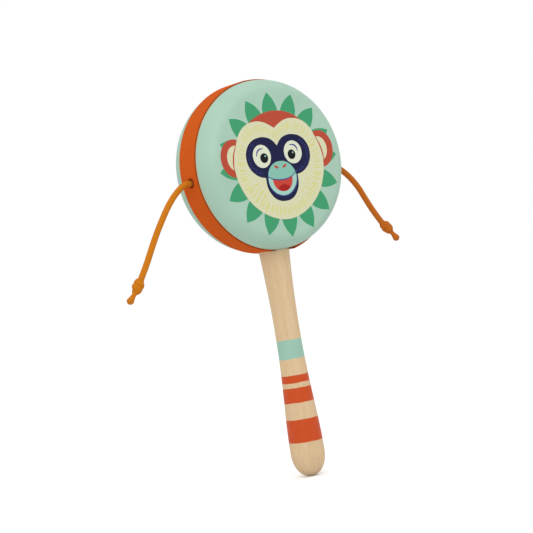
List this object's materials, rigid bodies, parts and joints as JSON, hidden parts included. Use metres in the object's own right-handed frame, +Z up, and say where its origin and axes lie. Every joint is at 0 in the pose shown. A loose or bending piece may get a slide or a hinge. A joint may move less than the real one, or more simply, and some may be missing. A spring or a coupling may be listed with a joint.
{
  "type": "twirl drum",
  "caption": "Small two-sided hand drum on a turned wooden stick, with a knotted striker cord at each side that swings round to tap the faces when the stick is twirled.",
  "frame": {"origin": "middle of the grip, on the axis of the handle", "axes": "+Z up along the handle towards the drum, printed front face towards -Y, left cord towards -X"},
  "size_m": [0.1726, 0.0348, 0.1995],
  "materials": {
    "hoop_wood": "bare sanded wood",
    "mint_skin": "satin mint skin with a printed front",
    "ribbon": "orange grosgrain ribbon",
    "handle_wood": "sanded beech under a clear satin varnish, with painted bands",
    "rod_wood": "bare beech dowel",
    "screw_steel": "zinc plated",
    "left_cord": "braided polyester cord",
    "right_cord": "braided polyester cord"
  },
  "bodies": {
    "drum": {"hoop": "hoop_wood", "front_skin": "mint_skin", "back_skin": "mint_skin", "rim_ribbon": "ribbon", "handle": "handle_wood", "center_rod": "rod_wood", "rod_screw": "screw_steel", "left_stopper_knot": "left_cord", "left_cord_anchor": "left_cord", "right_stopper_knot": "right_cord", "right_cord_anchor": "right_cord"},
    "left_cord_top": {"left_cord_upper": "left_cord"},
    "left_cord_striker": {"left_cord_lower": "left_cord", "left_striker_knot": "left_cord", "left_cord_tail": "left_cord"},
    "right_cord_top": {"right_cord_upper": "right_cord"},
    "right_cord_striker": {"right_cord_lower": "right_cord", "right_striker_knot": "right_cord", "right_cord_tail": "right_cord"}
  },
  "joints": [
    {"name": "left_cord_swing", "type": "hinge", "parent": "drum", "child": "left_cord_top", "pos_m": [-0.04515, 0, 0.108], "axis": [0, 0, 1], "range_deg": [-90, 90]},
    {"name": "left_cord_wrap", "type": "hinge", "parent": "left_cord_top", "child": "left_cord_striker", "pos_m": [-0.0611, 0, 0.0934], "axis": [-0.8349, 0, 0.5504], "range_deg": [-71.5, 71.5]},
    {"name": "right_cord_swing", "type": "hinge", "parent": "drum", "child": "right_cord_top", "pos_m": [0.04515, 0, 0.108], "axis": [0, 0, 1], "range_deg": [-90, 90]},
    {"name": "right_cord_wrap", "type": "hinge", "parent": "right_cord_top", "child": "right_cord_striker", "pos_m": [0.0611, 0, 0.0932], "axis": [0.8433, 0, 0.5375], "range_deg": [-67.5, 67.5]}
  ]
}
